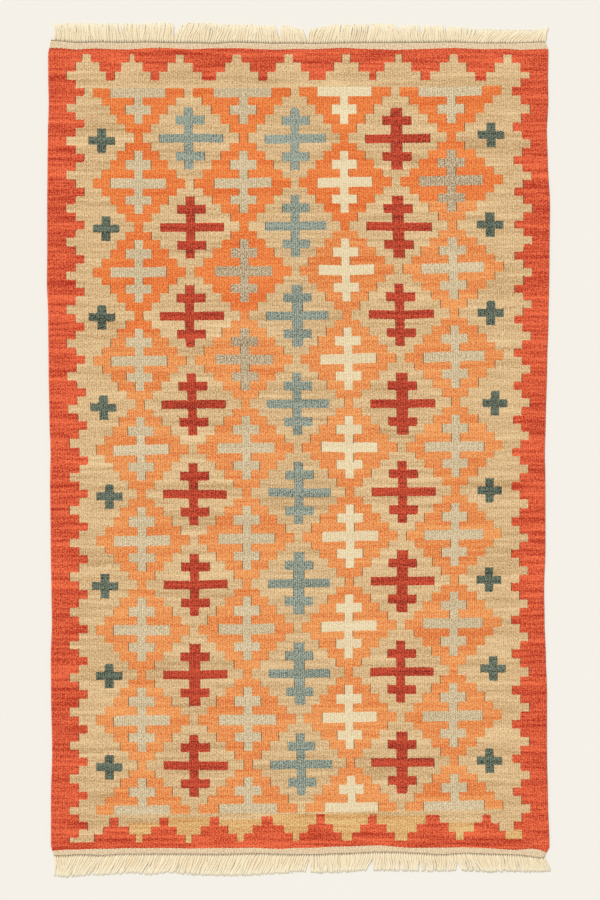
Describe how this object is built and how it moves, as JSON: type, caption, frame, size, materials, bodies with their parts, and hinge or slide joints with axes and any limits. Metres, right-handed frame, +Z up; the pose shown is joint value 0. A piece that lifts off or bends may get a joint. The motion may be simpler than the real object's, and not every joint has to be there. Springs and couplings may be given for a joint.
{
  "type": "kilim rug",
  "caption": "Flat-woven wool kilim rug lying flat: stepped diamonds with comb motifs inside a toothed border, woven end bands, twined locking rows and a fringe at each end.",
  "frame": {"origin": "middle of the outline seen from above, fringes included, on the underside that rests on the floor", "axes": "+X across the rug to its right selvedge, +Y along the rug towards its head end, +Z up out of the floor"},
  "size_m": [1.0118, 1.7184, 0.003],
  "materials": {
    "kilim_weave": "weft-faced wool tapestry weave, matt, in brick red, orange, camel, ivory, grey-beige, blue-grey and dark teal",
    "grey_twine": "two-ply grey-brown wool yarn, matt",
    "warp_yarn": "undyed cream plied yarn, matt"
  },
  "bodies": {
    "root": {"rug_cloth": "kilim_weave", "twined_row_head": "grey_twine", "twined_row_foot": "grey_twine", "fringe_head": "warp_yarn", "fringe_foot": "warp_yarn"}
  },
  "joints": []
}
